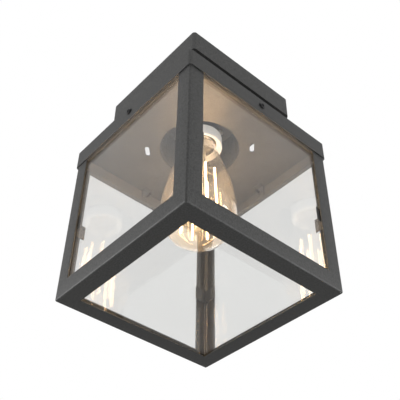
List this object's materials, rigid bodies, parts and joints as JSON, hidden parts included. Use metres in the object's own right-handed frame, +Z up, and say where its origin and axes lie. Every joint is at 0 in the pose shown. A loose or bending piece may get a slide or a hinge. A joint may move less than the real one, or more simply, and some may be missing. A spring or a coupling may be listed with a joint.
{
  "type": "porch ceiling lantern",
  "caption": "Square glazed ceiling lantern with a folded lid, a round neck and a square canopy, holding one screw-cap bulb.",
  "frame": {"origin": "middle of the ceiling bracket's upper face, in the ceiling's plane", "axes": "+Z up into the ceiling, so the lantern hangs towards -Z; +X along the ceiling bracket; front is -Y"},
  "size_m": [0.1666, 0.1666, 0.231],
  "materials": {
    "charcoal_coat": "fine-textured powder coat, dark charcoal grey",
    "zinc_plate": "bright zinc plate",
    "black_zinc": "black-passivated zinc plate",
    "brass": "plain brass",
    "foam_gasket": "closed-cell foam rubber, matte black",
    "nylon": "ivory nylon",
    "lead_brown": "brown insulation",
    "lead_blue": "blue insulation",
    "lead_green_yellow": "green and yellow insulation",
    "porcelain": "glazed white porcelain",
    "bulb_cap_metal": "nickel-plated rolled shell",
    "insulator_glass": "black glass",
    "amber_glass": "clear glass with a pale amber coating",
    "stem_glass": "clear glass",
    "filament_glow": "glowing warm-white filament",
    "wire": "fine nickel wire",
    "clear_glass": "clear float glass"
  },
  "bodies": {
    "fixture": {"ceiling_bracket": "zinc_plate", "canopy_studs": "zinc_plate", "stud_lock_nuts": "zinc_plate", "cap_washers": "zinc_plate", "cap_nuts": "charcoal_coat", "canopy": "charcoal_coat", "canopy_gasket": "foam_gasket", "terminal_block": "nylon", "terminal_screws": "brass", "block_screws": "zinc_plate", "earth_screw": "brass", "live_lead": "lead_brown", "neutral_lead": "lead_blue", "earth_lead": "lead_green_yellow", "neck": "charcoal_coat", "neck_screws": "zinc_plate", "neck_nuts": "zinc_plate", "nipple": "zinc_plate", "nipple_nut": "zinc_plate", "lampholder": "porcelain", "holder_cover": "charcoal_coat", "holder_shell": "brass", "centre_contact": "brass", "lid": "charcoal_coat", "lid_lugs": "charcoal_coat"},
    "bulb": {"bulb_cap": "bulb_cap_metal", "bulb_insulator": "insulator_glass", "bulb_contact": "bulb_cap_metal", "bulb_glass": "amber_glass", "bulb_stem": "stem_glass", "filaments": "filament_glow", "filament_wires": "wire"},
    "cage": {"post_front_left": "charcoal_coat", "post_front_right": "charcoal_coat", "post_back_right": "charcoal_coat", "post_back_left": "charcoal_coat", "bottom_rail_front": "charcoal_coat", "bottom_rail_right": "charcoal_coat", "bottom_rail_back": "charcoal_coat", "bottom_rail_left": "charcoal_coat", "top_rail_front": "charcoal_coat", "top_rail_right": "charcoal_coat", "top_rail_back": "charcoal_coat", "top_rail_left": "charcoal_coat", "pane_front": "clear_glass", "pane_right": "clear_glass", "pane_back": "clear_glass", "pane_left": "clear_glass", "bottom_pane": "clear_glass", "corner_clips": "charcoal_coat"},
    "screw_front": {"cage_screw_front": "black_zinc"},
    "screw_right": {"cage_screw_right": "black_zinc"},
    "screw_back": {"cage_screw_back": "black_zinc"},
    "screw_left": {"cage_screw_left": "black_zinc"}
  },
  "joints": [
    {"name": "cage_lower", "type": "slide", "parent": "fixture", "child": "cage", "axis": [0, 0, -1], "range_m": [0, 0.12]},
    {"name": "bulb_unscrew", "type": "slide", "parent": "fixture", "child": "bulb", "axis": [0, 0, -1], "range_m": [0, 0.029]},
    {"name": "screw_front_undo", "type": "slide", "parent": "fixture", "child": "screw_front", "axis": [0, -1, 0], "range_m": [0, 0.01]},
    {"name": "screw_right_undo", "type": "slide", "parent": "fixture", "child": "screw_right", "axis": [1, 0, 0], "range_m": [0, 0.01]},
    {"name": "screw_back_undo", "type": "slide", "parent": "fixture", "child": "screw_back", "axis": [0, 1, 0], "range_m": [0, 0.01]},
    {"name": "screw_left_undo", "type": "slide", "parent": "fixture", "child": "screw_left", "axis": [-1, 0, 0], "range_m": [0, 0.01]}
  ]
}
